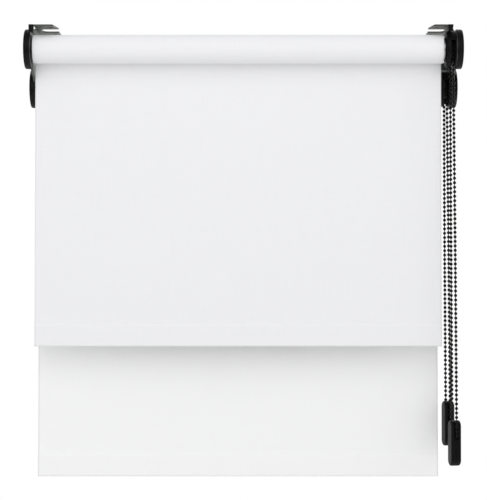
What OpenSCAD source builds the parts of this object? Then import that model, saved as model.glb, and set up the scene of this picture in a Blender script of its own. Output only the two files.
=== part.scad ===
// Double roller blind: two chain-driven rollers in one pair of stepped steel brackets.
// X runs along the rollers (control side at +X), Y towards the wall, Z up.
// The origin is the middle of the four ceiling screw holes, on the top face of the tabs.

/* [Brackets] */
// Distance between the outer faces of the two upper bracket plates
span = 574; // [420:1:1200]
// Thickness of the bracket steel
steel_t = 2; // [1.2:0.1:3]
// Depth from the ceiling hole centre line to the wall
wall_y = 50; // [50:0.5:70]
// Width of each ceiling tab along Y
tab_w = 32; // [16:0.5:40]
// Spacing of the two ceiling tabs along Y, centre to centre
tab_pitch = 63; // [56:0.5:70]
// Reach of the ceiling tabs from the plate's outer face
tab_reach = 34; // [24:0.5:50]
// Radius of the screw holes
screw_hole_r = 2.5; // [1.5:0.1:3.5]
// Distance of a ceiling hole from the end of its tab
hole_inset = 6.5; // [5:0.5:10]
// How far the lower half of each plate steps inwards
joggle = 1.5; // [0.5:0.1:4]
// Spacing of the wall holes in each bracket
wall_hole_pitch = 34; // [20:1:40]
// Reach of the wall flange from the lower plate's outer face
flange_reach = 22.5; // [16:0.5:30]

/* [Axes] */
// Front roller axis, Y
front_axis_y = -27; // [-30:0.5:-24]
// Front roller axis, Z
front_axis_z = -30.6; // [-40:0.1:-30]
// Rear roller axis, Y
rear_axis_y = 18; // [16:0.5:22]
// Rear roller axis, Z
rear_axis_z = -78.5; // [-90:0.5:-74]

/* [Rollers] */
// Outside radius of the aluminium tubes
tube_r = 15; // [12:0.1:16.5]
// Wall of the aluminium tubes
tube_wall = 1.2; // [0.8:0.1:2]
// Outside radius of the fabric wound on a tube
roll_r = 18.7; // [17:0.1:20]
// Gap from each fabric's left edge to its bracket plate
idle_gap = 0.8; // [0.6:0.1:5]
// Gap from the front fabric's right edge to its clutch housing
front_drive_gap = 3.7; // [1.8:0.1:8]
// Gap from the rear fabric's right edge to its clutch housing
rear_drive_gap = 1.9; // [1.8:0.1:8]

/* [Fabrics] */
// Thickness of the hanging fabrics
fabric_t = 0.6; // [0.4:0.1:1]
// Lower end of the front blind, Z
front_hem_z = -431; // [-900:1:-300]
// Lower end of the rear blind, Z
rear_hem_z = -611; // [-1200:1:-400]
// Height of the front hem pocket
front_hem_h = 33; // [30:1:50]
// Height of the rear hem pocket
rear_hem_h = 38; // [30:1:50]
// Width of the aluminium bar in each hem pocket
hem_bar_h = 25; // [18:1:28]
// Thickness of the aluminium bar in each hem pocket
hem_bar_t = 3; // [2:0.5:5]

/* [Clutches and covers] */
// Thickness of the front clutch housing
front_housing_t = 13; // [12.5:0.1:16]
// Thickness of the rear clutch housing
rear_housing_t = 14; // [14:0.1:16]
// Distance of the front chain wheel's middle from the plate
front_wheel_off = 4.7; // [4.6:0.1:5]
// Distance of the rear chain wheel's middle from the plate
rear_wheel_off = 6.5; // [4.6:0.1:7]
// Radius of the clutch housings
housing_r = 24.8; // [22:0.1:24.8]
// Radius of the round end covers
cover_r = 26.6; // [26:0.1:28]
// Thickness of the upper end covers
front_cover_t = 7; // [5:0.1:10]
// Thickness of the lower end covers
rear_cover_t = 5.5; // [4.5:0.1:10]
// Radius of the fixed clutch shafts
shaft_r = 7.5; // [6:0.1:8]

/* [Chains] */
// Diameter of the chain's beads
bead_d = 4.5; // [3:0.1:4.5]
// Radius at which the chain runs round its wheel
wheel_r = 15.3; // [14:0.1:15.5]
// Top of the front chain weight, Z
front_weight_z = -529; // [-1000:1:-300]
// Top of the rear chain weight, Z
rear_weight_z = -506; // [-1000:1:-300]
// Height of the chain weights
weight_h = 61; // [52:1:70]
// Width of the chain weights
weight_w = 14; // [12:0.5:18]
// Depth of the chain weights
weight_d = 17; // [16:0.5:20]
// Angle by which each weight hangs turned about the vertical
weight_turn = 12; // [0:1:20]
// How far each chain leans outwards down to its weight
chain_lean = 2.4; // [0:0.1:4]

/* [Hidden] */
$fn = 64;

// Index 0 is the front, upper blind; index 1 is the rear, lower blind.
FRONT = 0;
REAR = 1;
axis_y = [front_axis_y, rear_axis_y];
axis_z = [front_axis_z, rear_axis_z];
plate_out = [span / 2, span / 2 - joggle];
plate_in = [plate_out[0] - steel_t, plate_out[1] - steel_t];
housing_t = [front_housing_t, rear_housing_t];
wheel_off = [front_wheel_off, rear_wheel_off];
drive_gap = [front_drive_gap, rear_drive_gap];
cover_t = [front_cover_t, rear_cover_t];
hem_z = [front_hem_z, rear_hem_z];
hem_h = [front_hem_h, rear_hem_h];
weight_z = [front_weight_z, rear_weight_z];

fit = 0.05;             // clearance of running and seated fits, on the radius
air = 0.3;              // gap between faces that move past each other
hand_gap = 1;           // gap between larger parts

// Fabric edges along X: the left ones clear the plates, the right ones the housings.
fabric_left = [for (k = [0, 1]) -(plate_in[1] - idle_gap)]; // the front sheet passes the stepped part too
fabric_right = [for (k = [0, 1]) plate_in[k] - housing_t[k] - drive_gap[k]];
wheel_x = [for (k = [0, 1]) plate_in[k] - wheel_off[k]];
roll_right = [for (k = [0, 1]) plate_in[k] - housing_t[k] - 1.6];
sheet_y = [for (k = [0, 1]) axis_y[k] + roll_r + air + fabric_t / 2];
pocket_t = hem_bar_t + 2 * fabric_t + 4 * fit;

// Bracket
bend_r = 6.5;                                   // outside radius of the tab bends
plate_r = cover_r - 1.4;                        // plate edge, inside the covers' rims
bend_from = -12;                                // the bend runs from here back to the wall
slot_end = span / 2 - 13;                       // inner end of the flange's slot
web_half = 14;                                  // half the plate's width between its discs
rim_lap = [1.2, 1.9];                           // covers' rims over the plate's edge
tab_end_x = span / 2 - tab_reach;
step_angle = atan2(rear_axis_z - front_axis_z, rear_axis_y - front_axis_y);
axis_gap = norm([rear_axis_y - front_axis_y, rear_axis_z - front_axis_z]);
step_start = axis_gap / 2 - 3.5;                // along the line from axis to axis
step_end = axis_gap / 2 + 3.5;
plate_bottom = rear_axis_z - plate_r;
flange_mid_z = rear_axis_z + 9.5;
wall_hole_x = plate_out[1] - flange_reach + 7;
peg_r = 1.9;                                    // housing pegs that sit in the plate
peg_ring = 18;                                  // distance of the pegs from the axis

// Idle end
pin_r = 3;
collar_r = 5;
pin_tip = 2;                                    // pin beyond the plate's outer face
mouth_t = 3.4;
collar_t = 2;
plug_len = 33;
spring_pocket_end = 27.4;
pin_tail = 19.6;

// Drive end
plug_r = tube_r - tube_wall - fit;
plug_bore = 9.6;
hub_r = 9.2;
drive_len = 34;
shaft_len = 46;
hub_end = 21.5;                                 // wheel hub's reach from the plate
rim_half = 3.4;                                 // half the wheel's width
groove_half = bead_d / 2 + air + 0.05;
wheel_rim_r = wheel_r + 1.7;
groove_r = wheel_r - bead_d / 2 - air;
cavity_r = wheel_r + bead_d / 2 + 1.2;

// Chain: half the distance between its strands at the weight, and the bar it passes round
bar_drop = 18;                                  // bar's axis below the weight's top
loop_r = 9;
bar_r = loop_r - bead_d / 2 - air;
bar_z = [for (k = [0, 1]) weight_z[k] - bar_drop];
weight_x = [for (k = [0, 1]) wheel_x[k] + chain_lean];

// ---------- placing ----------

// Turns a shape made along +Z so that it runs along +X on a blind's axis, from x on.
module along_x(k, x) {
    translate([x, axis_y[k], axis_z[k]]) rotate([0, 90, 0]) children();
}

module ring(k, x, len, outer, inner) {
    along_x(k, x) difference() {
        cylinder(h = len, r = outer);
        translate([0, 0, -1]) cylinder(h = len + 2, r = inner);
    }
}

module rod(k, x, len, r) {
    along_x(k, x) cylinder(h = len, r = r);
}

// ---------- brackets ----------

// Side outline of a plate, in Y and Z: a disc at each axis, a web between, straight along the wall.
module plate_outline() {
    for (k = [0, 1]) translate([axis_y[k], axis_z[k]]) circle(r = plate_r);
    translate([front_axis_y, front_axis_z]) rotate(step_angle)
        translate([0, -web_half]) square([axis_gap, 2 * web_half]);
    polygon([
        [bend_from - 2, -bend_r], [(tab_pitch + tab_w) / 2, -bend_r],
        [wall_y, -bend_r - 5.5], [wall_y, plate_bottom + 6], [wall_y - 6, plate_bottom],
        [rear_axis_y, plate_bottom], [rear_axis_y, rear_axis_z], [front_axis_y, front_axis_z]
    ]);
}

// Section of a plate along the line from axis to axis: flat, stepped inwards, flat.
module stepped_section() {
    far = 400;
    polygon([
        [-far, plate_in[0]], [step_start, plate_in[0]], [step_end, plate_in[1]],
        [far, plate_in[1]], [far, plate_out[1]], [step_end, plate_out[1]],
        [step_start, plate_out[0]], [-far, plate_out[0]]
    ]);
}

// The bend in X and Z: a short flat top and a rounded quarter down to the plate.
module bend_section() {
    bend_x = span / 2 - bend_r;
    translate([bend_x - 1, -steel_t]) square([1, steel_t]);
    translate([bend_x, -bend_r]) intersection() {
        square(bend_r);
        difference() {
            circle(r = bend_r);
            circle(r = bend_r - steel_t);
        }
    }
}

module bracket_blank() {
    intersection() {
        translate([0, front_axis_y, front_axis_z]) rotate([step_angle, 0, 0])
            rotate([180, 0, 90]) linear_extrude(height = 400, center = true) stepped_section();
        translate([span / 2 - 20, 0, 0]) rotate([90, 0, 90]) linear_extrude(height = 40)
            plate_outline();
    }
    translate([0, (tab_pitch + tab_w) / 2, 0]) rotate([90, 0, 0])
        linear_extrude(height = (tab_pitch + tab_w) / 2 - bend_from) bend_section();
    translate([0, 0, -steel_t]) linear_extrude(height = steel_t) flange_plan();
    translate([plate_out[1] - flange_reach, wall_y - steel_t, plate_bottom + 7])
        cube([flange_reach - steel_t / 2, steel_t, 58]);
}

// Plan of the ceiling flange: two tabs either side of a round-cornered slot. The front tab
// stands free of the bend and its end is cut at a slant.
module flange_plan() {
    half = (tab_pitch + tab_w) / 2;
    slot_half = (tab_pitch - tab_w) / 2;
    corner = 7;
    chamfer = 2.5;
    difference() {
        polygon([
            [tab_end_x + 2 + chamfer, -half], [span / 2 - bend_r, -half], [span / 2 - bend_r, half],
            [tab_end_x + chamfer, half], [tab_end_x, half - chamfer], [tab_end_x, slot_half],
            [tab_end_x - 3, -slot_half], [tab_end_x + 2, -half + chamfer]
        ]);
        translate([tab_end_x - 10, -slot_half])
            square([slot_end - corner - tab_end_x + 10, 2 * slot_half]);
        translate([tab_end_x, corner - slot_half])
            square([slot_end - tab_end_x, 2 * (slot_half - corner)]);
        for (side = [-1, 1])
            translate([slot_end - corner, side * (slot_half - corner)]) circle(r = corner);
    }
}

module fixing_holes() {
    for (side = [-1, 1])
        translate([tab_end_x + hole_inset, side * tab_pitch / 2, -10])
            cylinder(h = 20, r = screw_hole_r);
    for (side = [-1, 1])
        translate([wall_hole_x, wall_y - 10, flange_mid_z + side * wall_hole_pitch / 2])
            rotate([-90, 0, 0]) cylinder(h = 20, r = screw_hole_r);
}

module bracket_left() {
    color("#8b8f8b") mirror([1, 0, 0]) difference() {
        bracket_blank();
        fixing_holes();
        for (k = [0, 1]) rod(k, span / 2 - 20, 40, pin_r + 2 * fit);
    }
}

module bracket_right() {
    color("#8b8f8b") difference() {
        bracket_blank();
        fixing_holes();
        for (k = [0, 1]) {
            rod(k, span / 2 - 20, 40, 2 + 2 * fit);
            for (side = [-1, 1]) translate([0, side * peg_ring, 0])
                rod(k, span / 2 - 20, 40, peg_r + 2 * fit);
        }
    }
}

// Round cup that snaps over a plate: flat face, rounded rim, hollow towards the plate. Its rim
// laps over the plate's edge wherever the disc's edge is free.
module end_cover(k) {
    edge = 2.2;
    wall = 1.6;
    t = cover_t[k];
    along_x(k, plate_out[k]) difference() {
        rotate_extrude($fn = 96) {
            square([cover_r, t - edge]);
            square([cover_r - edge, t]);
            translate([cover_r - edge, t - edge]) circle(r = edge);
        }
        translate([0, 0, -1]) cylinder(h = t - wall + 1, r = cover_r - wall - 0.6);
    }
    difference() {
        ring(k, plate_out[k] - rim_lap[k], rim_lap[k] + 0.5, cover_r, plate_r + 2 * fit);
        translate([plate_in[k] - 5, 0, 0]) rotate([90, 0, 90])
            linear_extrude(height = steel_t + 5) plate_outline();
        if (k == REAR)
            translate([plate_in[k] - 5, rear_axis_y - 1, rear_axis_z - 40])
                cube([steel_t + 5, 60, 80]);
    }
}

module front_cover_left() { color("#1c1c1e") mirror([1, 0, 0]) end_cover(FRONT); }
module front_cover_right() { color("#1c1c1e") end_cover(FRONT); }
module rear_cover_left() { color("#1c1c1e") mirror([1, 0, 0]) end_cover(REAR); }
module rear_cover_right() { color("#1c1c1e") end_cover(REAR); }

// Small plastic block at the front tab: the left one closes the tab's outer end and is cut at
// a slant below, the right one sits on the tab's front edge.
cap_w = 6.3;
cap_h = 8.4;
cap_d = 3.2;
module corner_cap(x, depth, drop) {
    front = -(tab_pitch + tab_w) / 2;
    translate([x, front - cap_d + depth, -air]) rotate([90, 0, 0]) linear_extrude(height = depth)
        polygon([[0, 0], [0, -cap_h], [cap_w, -cap_h - drop], [cap_w, 0]]);
}

module corner_cap_left() { color("#232325") corner_cap(-span / 2 + bend_r - cap_w, cap_d + 3.5, 2.8); }
module corner_cap_right() { color("#232325") corner_cap(span / 2 - 13.6, cap_d, 0); }

// ---------- drive end ----------

// Fixed body of the clutch: a thick disc with a cavity for the wheel, open in front and
// below so that both strands of the chain leave it, and two pegs into the plate.
module clutch_housing(k) {
    slot_half = bead_d / 2 + 0.75;
    x0 = plate_in[k] - housing_t[k];
    difference() {
        union() {
            rod(k, x0 + 1.5, housing_t[k] - 1.5, housing_r);
            rod(k, x0, 2, housing_r - 1.5);
            for (side = [-1, 1]) translate([0, side * peg_ring, 0])
                rod(k, plate_in[k] - 1, steel_t + 1, peg_r);
        }
        rod(k, wheel_x[k] - rim_half - air, 2 * (rim_half + air), cavity_r);
        rod(k, x0 - 1, housing_t[k], hub_r + air);
        rod(k, x0, housing_t[k] + 1, shaft_r + fit);
        // front window and open underside for the chain
        translate([wheel_x[k] - slot_half, axis_y[k] - housing_r - 1, axis_z[k] - housing_r - 1])
            cube([2 * slot_half, housing_r + cavity_r + 1, housing_r + 1]);
        translate([wheel_x[k] - slot_half, axis_y[k] - housing_r - 1, axis_z[k] - 1])
            cube([2 * slot_half, housing_r - 10, 10.7]);
    }
}

// Fixed shaft that the brake springs grip, tapped for the screw through the plate.
module clutch_shaft(k) {
    difference() {
        rod(k, plate_in[k] - shaft_len, shaft_len, shaft_r);
        rod(k, plate_in[k] - 14, 20, 2 + fit);
    }
}

module clutch_screw(k) {
    rod(k, plate_in[k] - 12, 12 + steel_t, 2);
    difference() {
        rod(k, plate_out[k], 2.2, 3.8);
        // hexagon socket
        along_x(k, plate_out[k] + 0.8) cylinder(h = 3, r = 1.5, $fn = 6);
    }
}

// Grooved wheel with the hub that releases the brake springs.
module chain_wheel(k) {
    hub_len = hub_end - wheel_off[k] - rim_half;
    along_x(k, wheel_x[k]) difference() {
        rotate_extrude($fn = 96) {
            translate([0, -rim_half]) square([groove_r, 2 * rim_half]);
            for (side = [-1, 1]) translate([0, side > 0 ? groove_half : -rim_half])
                square([wheel_rim_r, rim_half - groove_half]);
            translate([0, -rim_half - hub_len]) square([hub_r, hub_len + 1]);
        }
        translate([0, 0, -30]) cylinder(h = 60, r = shaft_r + fit);
    }
}

function helix_ring(r, wire, pitch, seg, i, sides) =
    let (a = 360 * i / seg)
    [for (j = [0:sides - 1]) let (b = 360 * j / sides)
        [(r + wire * cos(b)) * cos(a), (r + wire * cos(b)) * sin(a), pitch * i / seg + wire * sin(b)]];

// Faces of a tube made of n rings of m points, with flat ends.
function tube_faces(n, m) = concat(
    [for (i = [0:n - 2], j = [0:m - 1]) [i * m + j, i * m + (j + 1) % m, (i + 1) * m + (j + 1) % m]],
    [for (i = [0:n - 2], j = [0:m - 1]) [i * m + j, (i + 1) * m + (j + 1) % m, (i + 1) * m + j]],
    [[for (j = [m - 1:-1:0]) j], [for (j = [0:m - 1]) (n - 1) * m + j]]
);

// Coil spring along +Z: r to the wire's middle, turns of the given pitch.
module coil(r, wire, pitch, turns, seg) {
    sides = 6;
    rings = turns * seg + 1;
    pts = [for (i = [0:rings - 1]) each helix_ring(r, wire, pitch, seg, i, sides)];
    polyhedron(points = pts, faces = tube_faces(rings, sides), convexity = 8);
}

// Two wrap springs side by side on the fixed shaft.
module brake_springs(k) {
    wire = 0.6;
    turns = 6;
    pitch = 1.4;
    coil_len = turns * pitch + 2 * wire;
    first = plate_in[k] - shaft_len + 3;
    for (i = [0, 1]) along_x(k, first + wire + i * (coil_len + 1.4))
        coil(shaft_r + 1, wire, pitch, turns, 20);
}

// Adapter that turns the tube; its flange stops the tube's end.
module drive_plug(k) {
    difference() {
        union() {
            rod(k, roll_right[k] - drive_len, drive_len, plug_r);
            rod(k, roll_right[k], 1, tube_r + 1.2);
        }
        rod(k, roll_right[k] - drive_len - 1, drive_len + 3, plug_bore);
    }
}

// ---------- roller ----------

module roller_tube(k) {
    ring(k, fabric_left[k], roll_right[k] - fabric_left[k], tube_r, tube_r - tube_wall);
}

module fabric_roll(k) {
    ring(k, fabric_left[k], roll_right[k] - fabric_left[k], roll_r, tube_r + fit);
}

// ---------- idle end ----------

module idler_plug(k) {
    difference() {
        rod(k, fabric_left[k], plug_len, plug_r);
        rod(k, fabric_left[k] - 1, plug_len, pin_r + fit);
        rod(k, fabric_left[k] + mouth_t, spring_pocket_end - mouth_t, collar_r + 3 * fit);
        rod(k, fabric_left[k] + spring_pocket_end, 20, pin_r + 4 * fit);
    }
}

module idler_pin(k) {
    tip_x = -(plate_out[k] + pin_tip);
    tip_round = 0.8;
    rod(k, tip_x + tip_round, fabric_left[k] + pin_tail - tip_x - tip_round, pin_r);
    rod(k, tip_x, tip_round + 1, pin_r - tip_round);
    rod(k, fabric_left[k] + mouth_t + 2 * fit, collar_t, collar_r);
}

module idler_spring(k) {
    wire = 0.45;
    turns = 9;
    start = fabric_left[k] + mouth_t + collar_t + 4 * fit + wire;
    len = spring_pocket_end - mouth_t - collar_t - 6 * fit - 2 * wire;
    along_x(k, start) coil(pin_r + 1, wire, len / turns, turns, 14);
}

// ---------- fabrics and hems ----------

module hanging_fabric(k) {
    bottom = hem_z[k] + hem_h[k] + air;
    translate([fabric_left[k], sheet_y[k] - fabric_t / 2, bottom])
        cube([fabric_right[k] - fabric_left[k], fabric_t, axis_z[k] - bottom]);
}

// Outline with round ends in Y and Z, h high and t thick, standing on z = 0.
module stadium(t, h) {
    translate([-t / 2, t / 2]) square([t, h - t]);
    translate([0, t / 2]) circle(d = t);
    translate([0, h - t / 2]) circle(d = t);
}

// Runs a Y-Z outline along X on a fabric's plane, from x on, standing at height z.
module extrude_x(k, x, len, z) {
    translate([x, sheet_y[k], z]) rotate([90, 0, 90]) linear_extrude(height = len) children();
}

bar_lift = 2;           // hem bar above the pocket's lower edge
cap_len = 3;            // hem end caps along X

module hem_pocket(k) {
    width = fabric_right[k] - fabric_left[k];
    difference() {
        extrude_x(k, fabric_left[k], width, hem_z[k]) stadium(pocket_t, hem_h[k]);
        extrude_x(k, fabric_left[k] - 1, width + 2, hem_z[k] + bar_lift)
            translate([-(hem_bar_t / 2 + fit), 0]) square([hem_bar_t + 2 * fit, hem_bar_h + 2 * fit]);
    }
}

module hem_bar(k) {
    width = fabric_right[k] - fabric_left[k];
    extrude_x(k, fabric_left[k] + cap_len + fit, width - 2 * cap_len - 2 * fit, hem_z[k] + bar_lift + fit)
        translate([-hem_bar_t / 2, 0]) square([hem_bar_t, hem_bar_h]);
}

module hem_caps(k) {
    for (x = [fabric_left[k], fabric_right[k] - cap_len])
        extrude_x(k, x, cap_len, hem_z[k] + bar_lift + fit)
            translate([-hem_bar_t / 2, 0]) square([hem_bar_t, hem_bar_h]);
}

// ---------- chain and weight ----------

// A point of the chain's loop: t is 0 at the wheel and 1 at the bar, side -1 in front.
// The strands close from the wheel's radius to the loop's, lean out and turn on the way.
function strand_point(k, t, side) =
    let (half = wheel_r + (loop_r - wheel_r) * t, turn = weight_turn * t)
    [
        wheel_x[k] + chain_lean * t - side * half * sin(turn),
        axis_y[k] + side * half * cos(turn),
        axis_z[k] + (bar_z[k] - axis_z[k]) * t
    ];

// A point on the wheel: a is 0 at the back, 90 on top, 180 in front.
function wheel_point(k, a) =
    [wheel_x[k], axis_y[k] + wheel_r * cos(a), axis_z[k] + wheel_r * sin(a)];

// A point under the bar: a runs from 0 at the back to 180 in front.
function loop_point(k, a) = [
    weight_x[k] - loop_r * cos(a) * sin(weight_turn),
    axis_y[k] + loop_r * cos(a) * cos(weight_turn),
    bar_z[k] - loop_r * sin(a)
];

strand_steps = 7;
function chain_path(k) = concat(
    [for (a = [80:-16:0]) wheel_point(k, a)],
    [for (i = [1:strand_steps - 1]) strand_point(k, i / strand_steps, 1)],
    [for (a = [0:18:180]) loop_point(k, a)],
    [for (i = [strand_steps - 1:-1:1]) strand_point(k, i / strand_steps, -1)],
    [for (a = [180:-16:100]) wheel_point(k, a)]
);

function unit(v) = v / norm(v);

// Rings square to the path: every ring lies in the plane of X and the path's normal.
module swept_tube(path, r, sides) {
    n = len(path);
    pts = [for (i = [0:n - 1]) let (
            dir = unit(path[min(i + 1, n - 1)] - path[max(i - 1, 0)]),
            u = unit([1, 0, 0] - dir * dir[0]),
            v = cross(dir, u)
        ) each [for (j = [0:sides - 1]) let (b = 360 * j / sides)
            path[i] + r * (cos(b) * u + sin(b) * v)]];
    polyhedron(points = pts, faces = tube_faces(n, sides), convexity = 10);
}

module chain(k) { swept_tube(chain_path(k), bead_d / 2, 8); }

// Places a shape made round the bar's middle, X across the weight, and turns it.
module at_weight(k) {
    translate([weight_x[k], axis_y[k], bar_z[k]]) rotate([0, 0, weight_turn]) children();
}

module weight_outline(inset) {
    r = weight_d / 2 - inset;
    top = bar_drop - inset;
    low = bar_drop - weight_h + inset;
    translate([0, top - r]) circle(r = r, $fn = 48);
    translate([0, low + r]) circle(r = r, $fn = 48);
    translate([-r, low + r]) square([2 * r, top - low - 2 * r]);
}

// Channels that the chain runs in: down the front and back faces and round the bar.
module chain_channel() {
    half = bead_d / 2 + air;
    rotate([0, 90, 0]) cylinder(h = 2 * half, r = loop_r + bead_d / 2 + air, center = true);
    for (side = [-1, 1])
        translate([-half, side > 0 ? bar_r : -bar_r - 20, 0]) cube([2 * half, 20, bar_drop + 5]);
}

// Half of the weight's casing, on the +X side of its joint plane.
module weight_half() {
    edge = 1.8;
    slug_r = 5.5;
    difference() {
        union() {
            rotate([90, 0, 90]) linear_extrude(height = weight_w / 2 - edge) weight_outline(0);
            hull() {
                translate([weight_w / 2 - edge - 0.2, 0, 0]) rotate([90, 0, 90])
                    linear_extrude(height = 0.2) weight_outline(0);
                rotate([90, 0, 90]) linear_extrude(height = weight_w / 2) weight_outline(edge);
            }
        }
        chain_channel();
        rotate([0, 90, 0]) cylinder(h = weight_w - 2.4, r = bar_r + fit, center = true);
        translate([0, 0, bar_drop - weight_h + 3]) cylinder(h = 24, r = slug_r + fit);
    }
}

module weight_left(k) { at_weight(k) mirror([1, 0, 0]) weight_half(); }
module weight_right(k) { at_weight(k) weight_half(); }

module weight_slug(k) {
    at_weight(k) translate([0, 0, bar_drop - weight_h + 3 + fit]) cylinder(h = 23.8, r = 5.5);
}

module weight_bar(k) {
    at_weight(k) rotate([0, 90, 0]) cylinder(h = weight_w - 2.6, r = bar_r, center = true);
}

// ---------- the nodes of each blind ----------

module front_clutch_housing() { color("#1c1c1e") clutch_housing(FRONT); }
module front_clutch_shaft() { color("#d8d8d4") clutch_shaft(FRONT); }
module front_clutch_screw() { color("#9a9d9c") clutch_screw(FRONT); }
module front_chain_wheel() { color("#262628") chain_wheel(FRONT); }
module front_brake_springs() { color("#8f9498") brake_springs(FRONT); }
module front_drive_plug() { color("#2a2a2c") drive_plug(FRONT); }
module front_tube() { color("#c6c9cb") roller_tube(FRONT); }
module front_fabric_roll() { color("#eceef2") fabric_roll(FRONT); }
module front_idler_plug() { color("#2a2a2c") idler_plug(FRONT); }
module front_idler_pin() { color("#a8abad") idler_pin(FRONT); }
module front_idler_spring() { color("#8f9498") idler_spring(FRONT); }
module front_fabric() { color("#eceef2") hanging_fabric(FRONT); }
module front_hem_pocket() { color("#f0f2f5") hem_pocket(FRONT); }
module front_hem_bar() { color("#c6c9cb") hem_bar(FRONT); }
module front_hem_caps() { color("#e4e5e7") hem_caps(FRONT); }
module front_chain() { color("#2b2220") chain(FRONT); }
module front_weight_left() { color("#222224") weight_left(FRONT); }
module front_weight_right() { color("#222224") weight_right(FRONT); }
module front_weight_slug() { color("#7d8082") weight_slug(FRONT); }
module front_weight_bar() { color("#222224") weight_bar(FRONT); }

module rear_clutch_housing() { color("#1c1c1e") clutch_housing(REAR); }
module rear_clutch_shaft() { color("#d8d8d4") clutch_shaft(REAR); }
module rear_clutch_screw() { color("#9a9d9c") clutch_screw(REAR); }
module rear_chain_wheel() { color("#262628") chain_wheel(REAR); }
module rear_brake_springs() { color("#8f9498") brake_springs(REAR); }
module rear_drive_plug() { color("#2a2a2c") drive_plug(REAR); }
module rear_tube() { color("#c6c9cb") roller_tube(REAR); }
module rear_fabric_roll() { color("#f6f6f5") fabric_roll(REAR); }
module rear_idler_plug() { color("#2a2a2c") idler_plug(REAR); }
module rear_idler_pin() { color("#a8abad") idler_pin(REAR); }
module rear_idler_spring() { color("#8f9498") idler_spring(REAR); }
module rear_fabric() { color("#f6f6f5") hanging_fabric(REAR); }
module rear_hem_pocket() { color("#f7f7f6") hem_pocket(REAR); }
module rear_hem_bar() { color("#c6c9cb") hem_bar(REAR); }
module rear_hem_caps() { color("#e4e5e7") hem_caps(REAR); }
module rear_chain() { color("#2b2220") chain(REAR); }
module rear_weight_left() { color("#222224") weight_left(REAR); }
module rear_weight_right() { color("#222224") weight_right(REAR); }
module rear_weight_slug() { color("#7d8082") weight_slug(REAR); }
module rear_weight_bar() { color("#222224") weight_bar(REAR); }

bracket_left();
bracket_right();
front_cover_left();
front_cover_right();
rear_cover_left();
rear_cover_right();
corner_cap_left();
corner_cap_right();
front_clutch_housing();
front_clutch_shaft();
front_clutch_screw();
front_chain_wheel();
front_brake_springs();
front_drive_plug();
front_tube();
front_fabric_roll();
front_idler_plug();
front_idler_pin();
front_idler_spring();
front_fabric();
front_hem_pocket();
front_hem_bar();
front_hem_caps();
front_chain();
front_weight_left();
front_weight_right();
front_weight_slug();
front_weight_bar();
rear_clutch_housing();
rear_clutch_shaft();
rear_clutch_screw();
rear_chain_wheel();
rear_brake_springs();
rear_drive_plug();
rear_tube();
rear_fabric_roll();
rear_idler_plug();
rear_idler_pin();
rear_idler_spring();
rear_fabric();
rear_hem_pocket();
rear_hem_bar();
rear_hem_caps();
rear_chain();
rear_weight_left();
rear_weight_right();
rear_weight_slug();
rear_weight_bar();
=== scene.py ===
# %% [markdown]
# # A double roller blind
#
# Two blinds hang one behind the other from a pair of stepped steel brackets. The front, upper
# roller carries an opaque cloth, and the rear, lower one a light-filtering cloth. Each has a
# beaded chain at the right end, with a moulded weight that the chain loops through.
#
# The engineering model holds everything that is hard: brackets, clutches, tubes, plugs, covers.
# It is loaded as it is and only gets new finishes. What is soft or too fine for it is made here:
# the wound rolls, the hanging cloths, the hem sleeves, the bead chains and the chain weights.

# %% Load the fixed frame
import math

import bmesh
import bpy
import numpy as np
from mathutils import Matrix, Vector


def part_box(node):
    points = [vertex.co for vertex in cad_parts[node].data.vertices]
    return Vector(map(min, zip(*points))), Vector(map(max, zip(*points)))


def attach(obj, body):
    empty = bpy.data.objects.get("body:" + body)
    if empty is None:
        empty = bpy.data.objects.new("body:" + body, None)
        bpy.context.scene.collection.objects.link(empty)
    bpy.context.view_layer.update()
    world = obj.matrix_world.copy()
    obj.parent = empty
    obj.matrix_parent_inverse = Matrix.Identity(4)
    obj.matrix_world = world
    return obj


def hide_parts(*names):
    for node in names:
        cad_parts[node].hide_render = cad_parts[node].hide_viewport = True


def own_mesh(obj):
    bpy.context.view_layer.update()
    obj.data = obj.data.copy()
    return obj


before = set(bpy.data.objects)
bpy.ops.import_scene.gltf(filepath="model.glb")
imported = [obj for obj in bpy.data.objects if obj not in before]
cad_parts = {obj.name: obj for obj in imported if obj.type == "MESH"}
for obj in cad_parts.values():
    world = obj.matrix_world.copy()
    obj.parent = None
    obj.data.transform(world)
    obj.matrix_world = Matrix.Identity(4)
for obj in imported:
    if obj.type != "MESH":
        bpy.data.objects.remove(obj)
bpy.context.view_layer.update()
MM = 0.001
BLINDS = ("front", "rear")

# %% [markdown]
# ## Camera
#
# A long lens from a little over two metres away, level with the middle of the blinds and tilted
# up by a degree, sees both end covers edge-on and the ceiling tabs from just below. A long lens
# keeps the sides of the cloth nearly parallel.

# %% Camera
camera_data = bpy.data.cameras.new("studio_camera")
camera_data.sensor_fit = "HORIZONTAL"
camera_data.sensor_width = 36
camera_data.lens = 126.6
camera = bpy.data.objects.new("studio_camera", camera_data)
camera.location = (0, -2.327, -0.3547)
camera.rotation_euler = (math.radians(91.338), 0, 0)
bpy.context.scene.collection.objects.link(camera)
bpy.context.scene.camera = camera

# %% [markdown]
# ## Sizes taken from the frame
#
# Every place comes from the engineering model's own boxes, so the soft pieces meet the hard
# ones with nothing fitted by eye: the roller axes from the tubes, the cloth planes from the
# hanging cloths, the hem heights from the hem pockets.

# %% Sizes of each blind
CLOTH_T = 0.42 * MM     # a coated polyester blind cloth
WHEEL_HALF = 3.4 * MM   # half the width of a chain wheel, whose beads run in its middle


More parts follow.
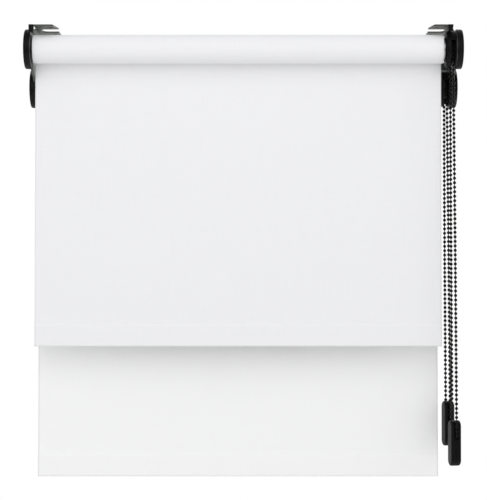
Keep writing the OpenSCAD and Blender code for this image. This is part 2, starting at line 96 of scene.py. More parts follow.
def blind_sizes(name):
    """The axis, cloth edges, cloth plane and heights of one blind, read from the frame's boxes."""
    tube_low, tube_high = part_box(f"{name}_tube")
    cloth_low, cloth_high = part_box(f"{name}_fabric")
    hem_low, hem_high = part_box(f"{name}_hem_pocket")
    wheel_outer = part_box(f"{name}_chain_wheel")[1].x
    return {
        "axis_y": (tube_low.y + tube_high.y) / 2,
        "axis_z": (tube_low.z + tube_high.z) / 2,
        "tube_r": (tube_high.z - tube_low.z) / 2,
        "left": cloth_low.x,
        "right": cloth_high.x,
        "plane_y": (cloth_low.y + cloth_high.y) / 2,
        "hem_low": hem_low.z,
        "hem_high": hem_high.z,
        "wheel_x": wheel_outer - WHEEL_HALF,
    }


sizes = {name: blind_sizes(name) for name in BLINDS}
for name in BLINDS:
    print(name, {k: round(v / MM, 2) for k, v in sizes[name].items()})

# %% [markdown]
# ## Surfaces on a grid
#
# Every new piece is a grid of points worked out as whole numpy arrays. These helpers turn a grid
# into quads, and put points, faces and texture coordinates into a mesh. The object stays at the
# origin with its place in its mesh, as the engineering parts do.

# %% Mesh helpers


def grid_faces(rows, columns, closed=False):
    """Quads between neighbours of a grid stored row by row; closed joins the last column to the first."""
    i = np.arange(rows - 1)[:, None]
    j = np.arange(columns if closed else columns - 1)[None, :]
    k = (j + 1) % columns
    quads = [i * columns + j, (i + 1) * columns + j, (i + 1) * columns + k, i * columns + k]
    return np.stack(quads, axis=-1).reshape(-1, 4)


def mesh_piece(name, points, faces, uv=None, sharp=40):
    """A smooth-shaded mesh piece; edges steeper than sharp degrees stay crisp. uv is one pair per point."""
    mesh = bpy.data.meshes.new(name)
    mesh.from_pydata(points.reshape(-1, 3).tolist(), [], [list(map(int, f)) for f in faces])
    if uv is not None:
        corners = np.empty(len(mesh.loops), np.int32)
        mesh.loops.foreach_get("vertex_index", corners)
        layer = mesh.uv_layers.new(name="cloth")
        layer.data.foreach_set("uv", uv.reshape(-1, 2)[corners].astype(np.float32).ravel())
    mesh.shade_smooth()
    mesh.set_sharp_from_angle(angle=math.radians(sharp))
    piece = bpy.data.objects.new(name, mesh)
    bpy.context.scene.collection.objects.link(piece)
    return piece


def smooth_step(t):
    """0 before 0, 1 after 1, and an S curve between."""
    t = np.clip(t, 0, 1)
    return t * t * (3 - 2 * t)


def path_lengths(path):
    """Distance along a path at each of its points."""
    return np.concatenate([[0], np.cumsum(np.linalg.norm(np.diff(path, axis=0), axis=1))])


# %% [markdown]
# ## Cloth strips
#
# Roll, hanging cloth and hem sleeve are one strip of cloth, cut to a width and led along a path.
# Seen from the side each is a thin line, so one function makes all three: it takes the path in
# the Y-Z plane, gives it the cloth's thickness to both sides, and runs it from edge to edge.
# The texture coordinates are real metres, u across the cloth and v along it, so that the weave
# has the same size on all three pieces.

# %% Cloth strip


def edge_columns(left, right, count):
    """Places across the cloth: close together near both cut edges, even between them."""
    near = np.array([0, 0.15, 0.6, 1.5, 3.5, 8]) * MM
    even = np.linspace(left + 16 * MM, right - 16 * MM, count)
    return np.concatenate([left + near, even, (right - near)[::-1]])


def cloth_strip(name, path, x, v_start=0.0, push=None, shift=None):
    """A closed strip along a Y-Z path. Its outline is the path moved half a thickness to its left,
    then back along the path moved half a thickness to its right. push moves points square to the
    path, per column and path point, and shift moves path points along X."""
    n = len(path)
    along = np.gradient(path, axis=0)
    along /= np.linalg.norm(along, axis=1)[:, None]
    left_hand = np.stack([-along[:, 1], along[:, 0]], axis=1)
    push = np.zeros((len(x), n)) if push is None else push
    shift = np.zeros(n) if shift is None else shift
    # the cut edge is crushed thinner than the cloth
    edge = np.minimum(x - x[0], x[-1] - x)
    half = CLOTH_T / 2 * (0.55 + 0.45 * smooth_step(edge / (0.6 * MM)))
    middle = path[None] + left_hand[None] * push[..., None]
    outside = middle + left_hand[None] * half[:, None, None]
    inside = (middle - left_hand[None] * half[:, None, None])[:, ::-1]
    loop = np.concatenate([outside, inside], axis=1)
    shifted = x[:, None] + np.concatenate([shift, shift[::-1]])[None]
    points = np.concatenate([shifted[..., None], loop], axis=2)
    lengths = v_start + path_lengths(path)
    v = np.concatenate([lengths, lengths[::-1]])
    uv = np.stack(np.broadcast_arrays((x - x[0])[:, None], v[None]), axis=-1)
    walls = grid_faces(len(x), 2 * n, closed=True)
    a = np.arange(n - 1)
    end = np.stack([a, a + 1, 2 * n - 2 - a, 2 * n - 1 - a], axis=1)
    far = (len(x) - 1) * 2 * n + end[:, ::-1]
    faces = np.concatenate([walls, end, far])
    return mesh_piece(name, points, faces, uv)


# %% [markdown]
# ## The wound rolls
#
# On the real blind the cloth is taped to the aluminium tube and wound on it, and from the end
# the turns show as a spiral of thin lines. A plain cylinder would lose that, so the strip is
# led along a true spiral: nine turns, from the tube out to the plane of the hanging cloth, where
# it leaves the roll at the back. Winding by machine is never perfectly even, so the turns wander
# sideways by a quarter of a millimetre.

# %% Wound rolls
TURNS = 9


def spiral_path(s):
    """Radius grows evenly with angle. The path starts outside, at the back, and ends on the tube."""
    outer = s["plane_y"] - s["axis_y"]
    inner = s["tube_r"] + CLOTH_T / 2 + 0.06 * MM
    turn = np.linspace(0, TURNS, TURNS * 64 + 1)
    angle = 2 * np.pi * turn
    radius = outer + (inner - outer) * turn / TURNS
    path = np.stack([s["axis_y"] + radius * np.cos(angle), s["axis_z"] + radius * np.sin(angle)], axis=1)
    return path, turn


rolls = {}
for name in BLINDS:
    s = sizes[name]
    path, turn = spiral_path(s)
    wander = 0.18 * MM * (np.sin(2.1 * turn) + 0.6 * np.sin(5.3 * turn + 1)) * smooth_step(turn / 0.6)
    columns = edge_columns(s["left"], s["right"], 9)
    wound = path_lengths(path)[-1]
    roll = cloth_strip(f"{name}_wound_cloth", path[::-1], columns, shift=wander[::-1])
    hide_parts(f"{name}_fabric_roll")
    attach(roll, f"{name}_roller")
    s["wound"] = wound
    rolls[name] = roll
    print(name, "wound cloth:", round(wound, 3), "m")

# %% [markdown]
# ## The hanging cloths
#
# A blind cloth hangs flat from the back of the roll, pulled straight by the bar in its hem. It is
# never a perfect plane: the cut edges cup a little and slow waves run down it. Both are part of
# the strip's push, and fade out at the roll and at the hem, where the cloth is held straight.

# %% Hanging cloths
HEM_LAP = 1.0 * MM      # how far the hanging cloth goes in between the sleeve's two layers


def hanging_push(x, z_share, seed):
    """Slow waves across and down the cloth, and cupped edges, both nil at the top and bottom."""
    held = np.sin(np.pi * z_share) ** 0.8
    across = (x - x[0]) / (x[-1] - x[0])
    waves = np.sin(2 * np.pi * (2.3 * across[:, None] + 0.8 * z_share[None] + seed))
    waves = 0.35 * waves + 0.2 * np.sin(2 * np.pi * (5.1 * across[:, None] - 1.4 * z_share[None] + 3 * seed))
    edge = np.minimum(x - x[0], x[-1] - x)[:, None]
    cup = 0.9 * np.exp(-edge / (9 * MM))
    return (waves + cup) * held[None] * MM


cloths = {}
for name in BLINDS:
    s = sizes[name]
    bottom = s["hem_high"] - HEM_LAP
    share = np.linspace(0, 1, 61)
    height = s["axis_z"] + (bottom - s["axis_z"]) * share
    path = np.stack([np.full_like(height, s["plane_y"]), height], axis=1)
    columns = edge_columns(s["left"], s["right"], 27)
    push = hanging_push(columns, share, 0.15 if name == "front" else 0.6)
    cloth = cloth_strip(f"{name}_hanging_cloth", path, columns, s["wound"], push)
    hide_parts(f"{name}_fabric")
    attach(cloth, "brackets")
    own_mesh(cloth)
    hang = s["axis_z"] - bottom
    s["hang"] = hang
    cloths[name] = cloth

# %% [markdown]
# ## The hem sleeves
#
# At the bottom the cloth is turned round a flat aluminium bar and welded to itself. From the
# side this is a long drop: two layers that meet at the weld, part over the bar, and turn under
# it. The same strip follows that drop. The weld is a pressed line just under the sleeve's top.

# %% Hem sleeves


POCKET_HALF = 1.99 * MM     # from the cloth plane to the middle of either layer, over the bar
LAP_HALF = 0.47 * MM        # the same above the bar, where the layers meet on the hanging cloth
BAR_REACH = 27.6 * MM       # the layers start to close this far above the sleeve's lowest line


def sleeve_path(s):
    """From the raw edge behind, down the back, round the bar's lower edge and up the front."""
    half = POCKET_HALF
    lap = LAP_HALF
    down = np.linspace(s["hem_high"], s["hem_low"] + half + CLOTH_T / 2, 46)
    above = down - s["hem_low"] - BAR_REACH
    closing = smooth_step(above / (s["hem_high"] - s["hem_low"] - 30 * MM))
    side = half + (lap - half) * closing
    angle = np.linspace(0, -np.pi, 15)[1:-1]
    turn_y = half * np.cos(angle)
    turn_z = down[-1] + half * np.sin(angle)
    y = np.concatenate([side, turn_y, -side[::-1]])
    z = np.concatenate([down, turn_z, down[::-1]])
    return np.stack([s["plane_y"] + y, z], axis=1)


hems = {}
for name in BLINDS:
    s = sizes[name]
    path = sleeve_path(s)
    columns = edge_columns(s["left"], s["right"], 15)
    below = s["hem_high"] - path[:, 1]
    weld = -0.13 * MM * np.exp(-(((below - 1.9 * MM) / (0.45 * MM)) ** 2))
    push = np.broadcast_to(weld[None], (len(columns), len(path)))
    hem = cloth_strip(f"{name}_hem_sleeve", path, columns, s["wound"] + s["hang"], push)
    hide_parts(f"{name}_hem_pocket")
    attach(hem, f"{name}_hem")
    hems[name] = hem

# %% [markdown]
# ## The bead chains
#
# The operating chain is a braided cord with plastic beads moulded on it every six millimetres.
# It runs over the clutch's wheel, down both sides, and round a bar inside its weight. The route
# repeats the engineering model's: arcs round wheel and bar, and two straight strands that lean
# outwards, close in, and turn with the weight. Each bead is a small sphere of sixty faces, set
# on the route as whole arrays, since there are hundreds of them.

# %% Chain routes
BEAD_D = 4.5 * MM
BEAD_PITCH = 6 * MM
WHEEL_R = 15.3 * MM
LOOP_R = 9 * MM
CHAIN_LEAN = 2.4 * MM
WEIGHT_TURN = math.radians(12)
WEIGHT_TOP = {"front": -529 * MM, "rear": -506 * MM}
BAR_DROP = 18 * MM


def chain_route(name):
    """Wheel, back strand, loop round the bar, front strand, wheel, as points along one line."""
    s = sizes[name]
    bar_z = WEIGHT_TOP[name] - BAR_DROP

    def on_wheel(degrees):
        a = np.radians(degrees)
        x = np.full_like(a, s["wheel_x"])
        return np.stack([x, s["axis_y"] + WHEEL_R * np.cos(a), s["axis_z"] + WHEEL_R * np.sin(a)], axis=1)

    def on_strand(t, side):
        half = WHEEL_R + (LOOP_R - WHEEL_R) * t
        turn = WEIGHT_TURN * t
        x = s["wheel_x"] + CHAIN_LEAN * t - side * half * np.sin(turn)
        z = s["axis_z"] + (bar_z - s["axis_z"]) * t
        return np.stack([x, s["axis_y"] + side * half * np.cos(turn), z], axis=1)

    def on_loop(degrees):
        a = np.radians(degrees)
        x = s["wheel_x"] + CHAIN_LEAN - LOOP_R * np.cos(a) * math.sin(WEIGHT_TURN)
        y = s["axis_y"] + LOOP_R * np.cos(a) * math.cos(WEIGHT_TURN)
        return np.stack([x, y, bar_z - LOOP_R * np.sin(a)], axis=1)

    down = np.arange(1, 90) / 90
    return np.concatenate([
        on_wheel(np.arange(80.0, -0.1, -8)),
        on_strand(down, 1),
        on_loop(np.arange(0.0, 181, 9)),
        on_strand(down[::-1], -1),
        on_wheel(np.arange(180.0, 99, -8)),
    ])


def frames_along(route, lengths, at):
    """Points of the route at the given lengths, with three directions there: along, across, up."""
    points = np.stack([np.interp(at, lengths, route[:, c]) for c in range(3)], axis=1)
    slopes = np.gradient(route, lengths, axis=0)
    along = np.stack([np.interp(at, lengths, slopes[:, c]) for c in range(3)], axis=1)
    along /= np.linalg.norm(along, axis=1)[:, None]
    across = np.array([[1.0, 0, 0]]) - along * along[:, :1]
    across /= np.linalg.norm(across, axis=1)[:, None]
    return points, along, across, np.cross(along, across)


def ball(rings, sides):
    """Unit sphere: latitude circles between two poles on the third axis."""
    latitude = np.linspace(-np.pi / 2, np.pi / 2, rings + 1)[1:-1]
    longitude = np.linspace(0, 2 * np.pi, sides, endpoint=False)
    circle = np.stack([np.cos(longitude), np.sin(longitude)], axis=1)
    middle = np.concatenate([
        np.stack([np.cos(latitude)[:, None] * circle[None, :, 0],
                  np.cos(latitude)[:, None] * circle[None, :, 1],
                  np.broadcast_to(np.sin(latitude)[:, None], (rings - 1, sides))], axis=-1).reshape(-1, 3),
        [[0, 0, -1], [0, 0, 1]]])
    quads = grid_faces(rings - 1, sides, closed=True)[:, ::-1]
    j = np.arange(sides)
    south, north = len(middle) - 2, len(middle) - 1
    last = (rings - 2) * sides
    low = np.stack([np.full(sides, south), (j + 1) % sides, j], axis=1)
    high = np.stack([np.full(sides, north), last + j, last + (j + 1) % sides], axis=1)
    return middle, quads, np.concatenate([low, high])


# %% Bead chains
chains = {}
CORD_R = 0.6 * MM
for name in BLINDS:
    route = chain_route(name)
    keep_points = np.concatenate([[True], np.linalg.norm(np.diff(route, axis=0), axis=1) > 1e-6])
    route = route[keep_points]
    lengths = path_lengths(route)
    count = int(lengths[-1] / BEAD_PITCH)
    at = (np.arange(count) + 0.5) * lengths[-1] / count
    points, along, across, up = frames_along(route, lengths, at)
    unit, quads, caps = ball(6, 10)
    side, rise, ahead = (unit[None, :, c:c + 1] for c in range(3))
    beads = points[:, None] + BEAD_D / 2 * (
        side * across[:, None] + rise * up[:, None] + ahead * along[:, None])
    offset = (np.arange(count) * len(unit))[:, None, None]
    bead_quads = (quads[None] + offset).reshape(-1, 4)
    bead_caps = (caps[None] + offset).reshape(-1, 3)
    # the cord is a six-sided tube through the beads, closed by a flat face at each end
    core_at = np.linspace(0, lengths[-1], 2 * count + 1)
    points, along, across, up = frames_along(route, lengths, core_at)
    a = np.linspace(0, 2 * np.pi, 6, endpoint=False)
    tube = points[:, None] + CORD_R * (np.cos(a)[None, :, None] * across[:, None]
                                       + np.sin(a)[None, :, None] * up[:, None])
    first = count * len(unit)
    tube_quads = grid_faces(len(core_at), 6, closed=True)[:, ::-1] + first
    tube_ends = [list(first + np.arange(6)[::-1]), list(first + (len(core_at) - 1) * 6 + np.arange(6))]
    all_points = np.concatenate([beads.reshape(-1, 3), tube.reshape(-1, 3)])
    all_faces = [*bead_quads.tolist(), *bead_caps.tolist(), *tube_quads.tolist(), *tube_ends]
    chain = mesh_piece(f"{name}_bead_chain", all_points, all_faces, sharp=80)
    is_cord = np.arange(len(all_faces)) >= len(bead_quads) + len(bead_caps)
    chains[name] = (chain, is_cord)
    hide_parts(f"{name}_chain")
    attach(chain, f"{name}_chain_loop")
    print(name, "chain:", round(lengths[-1], 3), "m,", count, "beads")

# %% [markdown]
# ## The chain weights
#
# Each chain hangs straight because of a moulded weight at its lower end: two plastic halves
# over a steel slug. Seen from the side it has round ends, its edges are soft, and a channel in
# front and behind lets the chain into a deep recess where it passes round a bar. The surface
# carries one profile round the side outline: from the middle of the left face, over the soft
# edge, across the rim with its channel and the fine joint of the halves, to the right face.
# Moving a point inwards by d from an outline with round ends only makes its radius smaller.

# %% Chain weights
WEIGHT_H = 61 * MM
WEIGHT_W = 14 * MM
WEIGHT_D = 17 * MM
CHANNEL = 2.6 * MM      # half the channel's width
BAR_R = 6.55 * MM       # the channel's floor follows the bar


def weight_outline(count):
    """Points round the side outline as a middle line point and an outward direction, in Y and Z."""
    r = WEIGHT_D / 2
    top = BAR_DROP - r
    low = BAR_DROP - WEIGHT_H + r
    arc = np.linspace(0, np.pi, 33)
    rise = np.linspace(low, top, count)
    side = np.concatenate([rise, np.full(31, top), rise[::-1], np.full(31, low)])
    angle = np.concatenate([np.zeros(count), arc[1:-1], np.full(count, np.pi), np.pi + arc[1:-1]])
    return side, np.cos(angle), np.sin(angle)


def channel_depth(middle_z, out_y, out_z):
    """How deep the channel is: down to the bar's flat tangent above it, round the bar beside it,
    and nothing below the recess."""
    r = WEIGHT_D / 2
    z = middle_z + r * out_z
    reach = np.maximum(np.abs(out_y), 1e-6)
    above = r - BAR_R / reach
    under = r - np.sqrt(np.maximum(BAR_R**2 - np.minimum(z, 0) ** 2, (3.4 * MM) ** 2))
    depth = np.where(z >= 0, above, under)
    lip = smooth_step((z + 8.3 * MM) / (0.9 * MM))
    return np.where(z > -8.4 * MM, np.maximum(depth, 0) * lip, 0)


def weight_surface():
    """Grid of points: rows run across the weight from left face to right, columns round it."""
    middle_z, out_y, out_z = weight_outline(90)
    r = WEIGHT_D / 2
    half = WEIGHT_W / 2
    soft = 2.4 * MM
    arc = np.linspace(0, np.pi / 2, 7)
    edge_x = half - soft + soft * np.cos(arc)
    edge_d = soft - soft * np.sin(arc)
    lip = 0.35 * MM
    side_x = np.concatenate([[half, half, half], edge_x, [CHANNEL + lip, CHANNEL + 0.3 * lip, CHANNEL]])
    side_d = np.concatenate([[r, 0.6 * r, 1.3 * soft], edge_d, [0, 0.3 * lip, lip]])
    floor_x = np.array([CHANNEL - 0.01 * MM, CHANNEL - 0.5 * MM, 0.35 * MM, 0.12 * MM])
    joint = 0.22 * MM
    depth = channel_depth(middle_z, out_y, out_z)
    cut = smooth_step(depth / lip)
    rows_x, rows_d = [], []
    for x, d in zip(side_x, side_d):
        inside = x < CHANNEL + 1.01 * lip
        rows_x.append(np.full_like(depth, x))
        rows_d.append(np.full_like(depth, d) * (cut if inside else 1))
    for i, x in enumerate(floor_x):
        rows_x.append(np.full_like(depth, x))
        rows_d.append(depth + (joint if i == 3 else 0))
    rows_x = np.array(rows_x)
    rows_d = np.array(rows_d)
    rows_x = np.concatenate([-rows_x, rows_x[::-1]])
    rows_d = np.concatenate([rows_d, rows_d[::-1]])
    y = (r - rows_d) * out_y[None]
    z = middle_z[None] + (r - rows_d) * out_z[None]
    return np.stack([rows_x, y, z], axis=-1)


def place_weight(points, name):
    """Turns the weight by its angle about the upright and sets it round its bar."""
    s = sizes[name]
    c, n = math.cos(WEIGHT_TURN), math.sin(WEIGHT_TURN)
    turned = np.stack([points[..., 0] * c - points[..., 1] * n,
                       points[..., 0] * n + points[..., 1] * c, points[..., 2]], axis=-1)
    place = [s["wheel_x"] + CHAIN_LEAN, s["axis_y"], WEIGHT_TOP[name] - BAR_DROP]
    return turned + np.array(place)


weights = {}
for name in BLINDS:
    surface = weight_surface()
    rows, columns = surface.shape[:2]
    around = grid_faces(rows, columns, closed=True)
    weight = mesh_piece(f"{name}_chain_weight", place_weight(surface, name), around)
    mesh = weight.data
    shell = bmesh.new()
    shell.from_mesh(mesh)
    bmesh.ops.remove_doubles(shell, verts=shell.verts, dist=1e-6)
    bmesh.ops.recalc_face_normals(shell, faces=shell.faces)
    shell.to_mesh(mesh)
    shell.free()
    mesh.shade_smooth()
    mesh.set_sharp_from_angle(angle=math.radians(38))
    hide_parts(f"{name}_weight_left", f"{name}_weight_right")
    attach(weight, f"{name}_chain_loop")
    weights[name] = weight
    print(name, "weight:", len(mesh.polygons), "faces")

# %% [markdown]
# ## Finishes
#
# Each material starts from what the real one is. Colours are given as sRGB hex values and turned
# into the linear values that the shader works in. One helper adds a node with its settings and
# links; a number that is the same all over the surface is set on the shader's own socket.

# %% Material helpers


def linear(hex_colour):
    """sRGB hex to linear colour: below 0.04045 a straight line, above it a power of 2.4."""
    srgb = np.array([int(hex_colour[i:i + 2], 16) for i in (1, 3, 5)]) / 255
    values = np.where(srgb <= 0.04045, srgb / 12.92, ((srgb + 0.055) / 1.055) ** 2.4)
    return (*values.tolist(), 1.0)


def add_node(tree, kind, inputs=None, **settings):
    """Adds a shader node. inputs maps a socket's name or number to a value or to a socket to link."""
    made = tree.nodes.new("ShaderNode" + kind)
    for key, value in settings.items():
        setattr(made, key, value)
    for key, value in (inputs or {}).items():
        if isinstance(value, bpy.types.NodeSocket):
            tree.links.new(value, made.inputs[key])
        else:
            made.inputs[key].default_value = value
    return made


def start_material(name, **values):
    """A new material with its shader's fixed values set; returns it, its nodes and its shader."""
    material = bpy.data.materials.new(name)
    material.use_nodes = True
    shader = material.node_tree.nodes["Principled BSDF"]
    for key, value in values.items():
        shader.inputs[key.replace("_", " ")].default_value = value
    return material, material.node_tree, shader


def span(tree, value, low, high):
    """Maps a pattern from 0..1 to low..high."""
    return add_node(tree, "MapRange", {0: value, 3: low, 4: high}).outputs[0]


def blend_colours(tree, share, first, second):
    """A colour between two, by share."""
    mixed = add_node(tree, "Mix", {0: share, 6: first, 7: second}, data_type="RGBA")
    return mixed.outputs[2]


# %% [markdown]
# ### Cloth
#
# Blind cloth is a plain weave of polyester threads about half a millimetre apart, coated so that
# it stays stiff. From a few steps away the threads melt together, and what the eye keeps is a
# matt, faintly streaky white: slightly blue on the opaque cloth, neutral on the light one. The
# threads are drawn 1.1 mm apart so that they can be made out close by, with slubs, which are
# threads that are thicker for a few centimetres.

# %% Cloth materials
THREAD = 1.1 * MM
SLUB_W = 1.4 * MM
WEFT_SLUB = 35 * MM
WARP_SLUB = 60 * MM


def woven_cloth(name, light, shade, depth, edge_shade, width):
    material, tree, shader = start_material(name, Roughness=0.86, Sheen_Weight=0.12, Sheen_Roughness=0.55)
    uv = add_node(tree, "UVMap", uv_map="cloth").outputs[0]
    scale = 2 * math.pi / 20 / THREAD
    warp = add_node(tree, "TexWave", {"Vector": uv, "Scale": scale, "Distortion": 0.4, "Detail": 1.0},
                    bands_direction="X").outputs["Fac"]
    weft = add_node(tree, "TexWave", {"Vector": uv, "Scale": scale, "Distortion": 0.4, "Detail": 1.0},
                    bands_direction="Y").outputs["Fac"]
    weave = add_node(tree, "Math", {0: warp, 1: weft}, operation="MULTIPLY").outputs[0]
    # slubs: noise drawn out along the weft, and longer ones along the warp
    weft_size = (1 / WEFT_SLUB, 1 / SLUB_W, 1)
    warp_size = (1 / SLUB_W, 1 / WARP_SLUB, 1)
    lengthwise = add_node(tree, "Mapping", {"Vector": uv, "Scale": weft_size}).outputs[0]
    crosswise = add_node(tree, "Mapping", {"Vector": uv, "Scale": warp_size}).outputs[0]
    slub = add_node(tree, "TexNoise", {"Vector": lengthwise, "Scale": 1.0, "Detail": 2.0}).outputs[0]
    slub_up = add_node(tree, "TexNoise", {"Vector": crosswise, "Scale": 1.0, "Detail": 2.0}).outputs[0]
    streaks = add_node(tree, "Math", {0: slub, 1: slub_up}, operation="MULTIPLY").outputs[0]
    tone = span(tree, streaks, -0.6, 1.6)
    colour = blend_colours(tree, tone, linear(light), linear(shade))
    # a heat-cut edge is slightly denser: darker within two millimetres of each side
    across = add_node(tree, "SeparateXYZ", {0: uv}).outputs[0]
    other = add_node(tree, "Math", {0: width, 1: across}, operation="SUBTRACT").outputs[0]
    edge = add_node(tree, "Math", {0: across, 1: other}, operation="MINIMUM").outputs[0]
    cut = add_node(tree, "MapRange", {0: edge, 1: 0.6 * MM, 2: 2.4 * MM, 3: 1.0, 4: 0.0}).outputs[0]
    tree.links.new(blend_colours(tree, cut, colour, linear(edge_shade)), shader.inputs["Base Color"])
    height = add_node(tree, "Math", {0: weave, 1: span(tree, streaks, 0, 0.8)}, operation="ADD").outputs[0]
    bump = add_node(tree, "Bump", {"Height": height, "Strength": 0.5, "Distance": depth})
    tree.links.new(bump.outputs[0], shader.inputs["Normal"])
    return material


front_width = sizes["front"]["right"] - sizes["front"]["left"]
rear_width = sizes["rear"]["right"] - sizes["rear"]["left"]
cloth_finish = {
    "front": woven_cloth("opaque_coated_polyester", "#F5F5F7", "#EDEDEF", 0.05 * MM, "#E8E8EA", front_width),
    "rear": woven_cloth("light_filtering_polyester", "#FEFEFF", "#FAFAFB", 0.05 * MM, "#EAEAEB", rear_width),
}
for name in BLINDS:
    for piece in (rolls[name], cloths[name], hems[name]):
        piece.data.materials.append(cloth_finish[name])

# %% [markdown]
# ### Moulded plastics
#
# The end covers, clutch housings and weights are black ABS from a spark-eroded mould: a fine
# satin grain that spreads the highlights. The grain is about 0.3 mm on the real part and is
# drawn at 0.5 mm. The beads are the same black but polished, and their cord is a braided
# polyester dyed a brown black.

# %% Plastic materials


def moulded_plastic(name, dark, light, roughness, grain, depth):
    material, tree, shader = start_material(name, IOR=1.5, Specular_IOR_Level=0.22)
    place = add_node(tree, "TexCoord").outputs["Object"]
    cloudy = add_node(tree, "TexNoise", {"Vector": place, "Scale": 1 / (22 * MM), "Detail": 3.0}).outputs[0]
    fine = add_node(tree, "TexNoise", {"Vector": place, "Scale": 1 / grain, "Detail": 2.0}).outputs[0]
    colour = blend_colours(tree, span(tree, cloudy, -0.5, 1.5), linear(dark), linear(light))
    tree.links.new(colour, shader.inputs["Base Color"])
    tree.links.new(span(tree, cloudy, roughness - 0.06, roughness + 0.08), shader.inputs["Roughness"])
    bump = add_node(tree, "Bump", {"Height": fine, "Strength": 0.35, "Distance": depth})
    tree.links.new(bump.outputs[0], shader.inputs["Normal"])
    return material


black_abs = moulded_plastic("black_textured_abs", "#060607", "#0C0B0C", 0.42, 0.5 * MM, 0.03 * MM)
black_nylon = moulded_plastic("black_nylon", "#0A0A0B", "#121213", 0.36, 0.7 * MM, 0.03 * MM)
white_abs = moulded_plastic("clear_white_abs", "#E2E3E5", "#D5D7DA", 0.35, 0.5 * MM, 0.04 * MM)
acetal = moulded_plastic("natural_acetal", "#E0E0DB", "#D2D2CC", 0.3, 0.8 * MM, 0.02 * MM)
bead_plastic = moulded_plastic("polished_black_beads", "#070707", "#0D0C0C", 0.25, 0.9 * MM, 0.01 * MM)


def braided_cord(name, dark, light):
    """Polyester braid: two crossing diagonal waves, 0.7 mm apart, over a brown black."""
    material, tree, shader = start_material(name, Roughness=0.8)
    place = add_node(tree, "TexCoord").outputs["Object"]
    scale = 2 * math.pi / 20 / (0.7 * MM)
    one = add_node(tree, "TexWave", {"Vector": place, "Scale": scale},
                   bands_direction="DIAGONAL").outputs["Fac"]
    tilt = add_node(tree, "Mapping", {"Vector": place, "Scale": (-1.0, 1.0, 1.0)}).outputs[0]
    two = add_node(tree, "TexWave", {"Vector": tilt, "Scale": scale},
                   bands_direction="DIAGONAL").outputs["Fac"]
    strands = add_node(tree, "Math", {0: one, 1: two}, operation="MAXIMUM").outputs[0]
    tree.links.new(blend_colours(tree, strands, linear(dark), linear(light)), shader.inputs["Base Color"])
    bump = add_node(tree, "Bump", {"Height": strands, "Strength": 0.6, "Distance": 0.1 * MM})
    tree.links.new(bump.outputs[0], shader.inputs["Normal"])
    return material


cord_braid = braided_cord("brown_black_polyester_braid", "#171210", "#2A201D")
for name in BLINDS:
    chain, is_cord = chains[name]
    chain.data.materials.append(bead_plastic)
    chain.data.materials.append(cord_braid)
    chain.data.polygons.foreach_set("material_index", is_cord.astype(np.int32))
    weights[name].data.materials.append(black_abs)

# %% [markdown]
# ### Metals
#
# The brackets are pressed from hot-dip galvanised sheet: a dull grey metal with faint crystals
# of zinc a few millimetres wide, which show as patches of slightly different brightness. The
# screws, shafts and pins are bright zinc plate over turned steel, the tubes and bars extruded
# aluminium with fine die lines along their length.

# %% Metal materials


def galvanised_sheet(name):
    material, tree, shader = start_material(name, Metallic=1.0)
    place = add_node(tree, "TexCoord").outputs["Object"]
    crystals = add_node(tree, "TexVoronoi", {"Vector": place, "Scale": 1 / (4 * MM)})
    patch = add_node(tree, "SeparateColor", {0: crystals.outputs["Color"]}).outputs[0]
    cloudy = add_node(tree, "TexNoise", {"Vector": place, "Scale": 1 / (12 * MM), "Detail": 4.0}).outputs[0]
    mixed = add_node(tree, "Math", {0: patch, 1: cloudy}, operation="MULTIPLY").outputs[0]
    colour = blend_colours(tree, span(tree, mixed, 0.0, 1.6), linear("#626562"), linear("#767976"))
    tree.links.new(colour, shader.inputs["Base Color"])
    tree.links.new(span(tree, mixed, 0.38, 0.62), shader.inputs["Roughness"])
    bump = add_node(tree, "Bump", {"Height": mixed, "Strength": 0.3, "Distance": 0.05 * MM})
    tree.links.new(bump.outputs[0], shader.inputs["Normal"])
    return material


def drawn_metal(name, dark, light, roughness, across, along):
    """Metal with fine lines along X: noise squeezed to one size across and stretched along."""
    material, tree, shader = start_material(name, Metallic=1.0)
    place = add_node(tree, "TexCoord").outputs["Object"]
    size = (1 / along, 1 / across, 1 / across)
    stretched = add_node(tree, "Mapping", {"Vector": place, "Scale": size}).outputs[0]
    lines = add_node(tree, "TexNoise", {"Vector": stretched, "Scale": 1.0, "Detail": 3.0}).outputs[0]
    tree.links.new(blend_colours(tree, lines, linear(dark), linear(light)), shader.inputs["Base Color"])
    tree.links.new(span(tree, lines, roughness - 0.08, roughness + 0.1), shader.inputs["Roughness"])
    bump = add_node(tree, "Bump", {"Height": lines, "Strength": 0.25, "Distance": 0.03 * MM})
    tree.links.new(bump.outputs[0], shader.inputs["Normal"])
    return material


galvanised = galvanised_sheet("galvanised_steel_sheet")
zinc_plate = drawn_metal("bright_zinc_plated_steel", "#8E9196", "#B9BCC0", 0.3, 0.3 * MM, 6 * MM)
spring_wire = drawn_metal("drawn_spring_steel", "#6E7176", "#989CA2", 0.34, 0.2 * MM, 2 * MM)
aluminium = drawn_metal("extruded_aluminium", "#BFC2C5", "#DADCDE", 0.32, 0.4 * MM, 120 * MM)
oiled_steel = drawn_metal("turned_oiled_steel", "#55575A", "#74767A", 0.45, 0.4 * MM, 0.4 * MM)

# %% [markdown]
# ### Finishes of the engineering parts
#
# Each carried-over part takes the finish that its real counterpart has, by name. The mesh of
# such a part is never touched; only the material in its slots is changed.

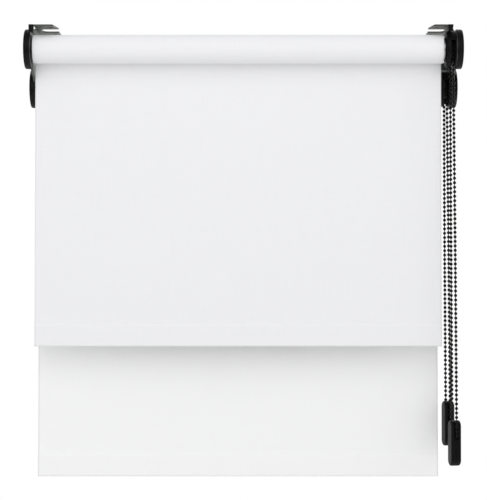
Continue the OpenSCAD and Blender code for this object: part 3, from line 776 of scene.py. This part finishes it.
# %% Assign finishes
FINISH_OF = {
    "bracket": galvanised,
    "cover": black_abs,
    "corner_cap": black_abs,
    "clutch_housing": black_abs,
    "clutch_shaft": acetal,
    "clutch_screw": zinc_plate,
    "chain_wheel": black_nylon,
    "brake_springs": spring_wire,
    "drive_plug": black_nylon,
    "tube": aluminium,
    "idler_plug": black_nylon,
    "idler_pin": zinc_plate,
    "idler_spring": spring_wire,
    "hem_bar": aluminium,
    "hem_caps": white_abs,
    "weight_slug": oiled_steel,
    "weight_bar": black_nylon,
}
plain = []
for node_name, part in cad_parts.items():
    found = [key for key in FINISH_OF if key in node_name]
    if not found:
        plain.append(node_name)
        continue
    finish = FINISH_OF[max(found, key=len)]
    for slot in part.material_slots:
        slot.material = finish
print("parts that a new piece stands for:", plain)

# %% [markdown]
# ## Light, floor and backdrop
#
# White goods on white need light that is even but not flat. A broad soft light from above and
# in front makes the roll throw a soft shadow on its cloth and the front hem one on the rear
# cloth. A low one in front lifts those shadows, and weaker ones fill in from the sides. The
# camera sees a white backdrop and the surfaces are lit by a dimmer one. What they mirror is
# dimmer still, most of all on the camera's side, and the fills aren't mirrored at all, as with
# the grey screens that a studio sets up so that black plastic stays black.

# %% Light and floor


def soft_light(name, place, aim, size, power, colour=(1, 1, 1), mirrored=True):
    """A square area light at place, turned towards aim; mirrored says if glossy surfaces show it."""
    data = bpy.data.lights.new(name, "AREA")
    data.shape = "SQUARE"
    data.size = size
    data.energy = power
    data.color = colour
    light = bpy.data.objects.new(name, data)
    light.location = place
    light.visible_glossy = mirrored
    light.rotation_euler = (Vector(aim) - Vector(place)).to_track_quat("-Z", "Y").to_euler()
    bpy.context.scene.collection.objects.link(light)
    return light


soft_light("key", (-0.15, -1.8, 0.75), (0, 0, -0.3), 1.6, 8, (1.0, 0.994, 0.982))
soft_light("low_front", (0.0, -2.3, -0.55), (0, 0, -0.5), 1.4, 5, mirrored=False)
soft_light("left_fill", (-1.9, -1.1, -0.2), (0, 0, -0.3), 1.2, 2, (0.98, 0.99, 1.0), mirrored=False)
soft_light("right_fill", (1.9, -1.0, 0.1), (0.1, 0, -0.3), 1.0, 2, (0.98, 0.99, 1.0), mirrored=False)
soft_light("back_fill", (0.6, 1.8, 0.7), (0, 0, -0.3), 1.2, 5)

world = bpy.data.worlds.new("white_studio")
world.use_nodes = True
bpy.context.scene.world = world
tree = world.node_tree
tree.nodes.clear()
seen = add_node(tree, "Background", {"Color": (1, 1, 1, 1), "Strength": 1.0})
lit = add_node(tree, "Background", {"Color": (0.994, 0.997, 1.0, 1), "Strength": 0.70})
# a mirrored ray finds the camera's side dim and the backdrop behind the blinds bright
ray_y = add_node(tree, "SeparateXYZ", {0: add_node(tree, "TexCoord").outputs["Generated"]}).outputs[1]
dimmed = add_node(tree, "MapRange", {0: ray_y, 1: -0.2, 2: 0.9, 3: 0.14, 4: 0.7}).outputs[0]
mirrored = add_node(tree, "Background", {"Color": (1, 1, 1, 1), "Strength": dimmed})
rays = add_node(tree, "LightPath")
surroundings = add_node(tree, "MixShader", {0: rays.outputs["Is Glossy Ray"], 1: lit.outputs[0],
                                            2: mirrored.outputs[0]}).outputs[0]
mixer = add_node(tree, "MixShader", {0: rays.outputs["Is Camera Ray"], 1: surroundings, 2: seen.outputs[0]})
add_node(tree, "OutputWorld", {0: mixer.outputs[0]})

FLOOR_Z = -0.9
FLOOR_HALF = 1.7
corners = np.array([[-1, -1], [1, -1], [1, 1], [-1, 1]]) * FLOOR_HALF
floor_points = np.column_stack([corners, np.full(4, FLOOR_Z)])
floor = mesh_piece("studio_floor", floor_points, [[0, 1, 2, 3]])
floor_finish, tree, shader = start_material("pale_floor", Roughness=0.8)
place = add_node(tree, "TexCoord").outputs["Object"]
speckle = add_node(tree, "TexNoise", {"Vector": place, "Scale": 1 / (30 * MM), "Detail": 4.0}).outputs[0]
speckled = blend_colours(tree, speckle, linear("#E2E2E0"), linear("#EAEAE8"))
tree.links.new(speckled, shader.inputs["Base Color"])
floor.data.materials.append(floor_finish)
bpy.context.scene.view_settings.view_transform = "Standard"
